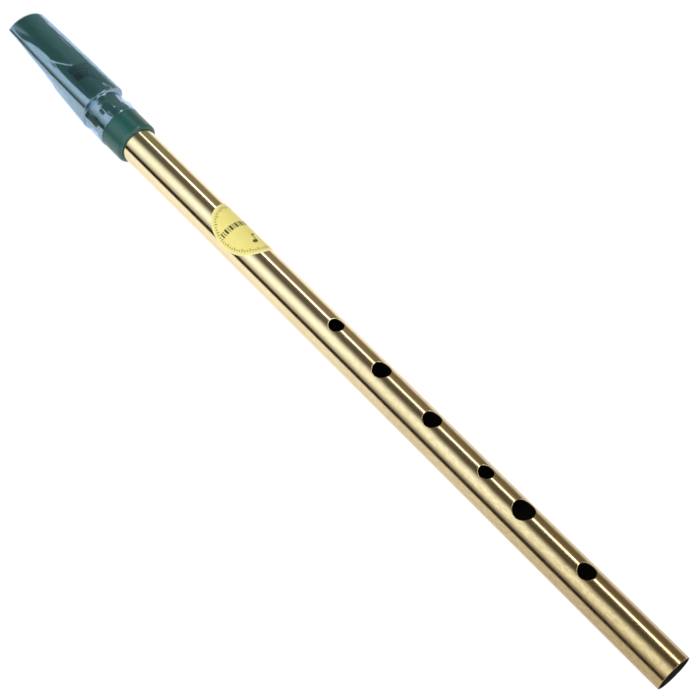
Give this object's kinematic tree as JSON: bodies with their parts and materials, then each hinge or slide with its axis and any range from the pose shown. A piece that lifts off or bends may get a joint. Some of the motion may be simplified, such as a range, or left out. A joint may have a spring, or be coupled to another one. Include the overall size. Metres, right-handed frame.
{
  "type": "tin whistle",
  "caption": "Straight brass tin whistle with finger holes and an open foot, and a green moulded fipple mouthpiece in clear film that slides on the tube to tune it.",
  "frame": {"origin": "centre of the tube's open foot, on the axis of its bore", "axes": "+X out of the foot along the bore, so the whistle runs towards -X; +Z the side of the finger holes and the window"},
  "size_m": [0.311, 0.0164, 0.0169],
  "materials": {
    "brass": "drawn, lightly lacquered",
    "green_plastic": "satin moulded",
    "sticker": "printed pale gold",
    "clear_film": "clear shrunk film"
  },
  "bodies": {
    "tube": {"brass_tube": "brass", "label": "sticker"},
    "head": {"mouthpiece": "green_plastic", "hygiene_film": "clear_film"}
  },
  "joints": [
    {"name": "tuning_slide", "type": "slide", "parent": "tube", "child": "head", "axis": [-1, 0, 0], "range_m": [0, 0.01]}
  ]
}
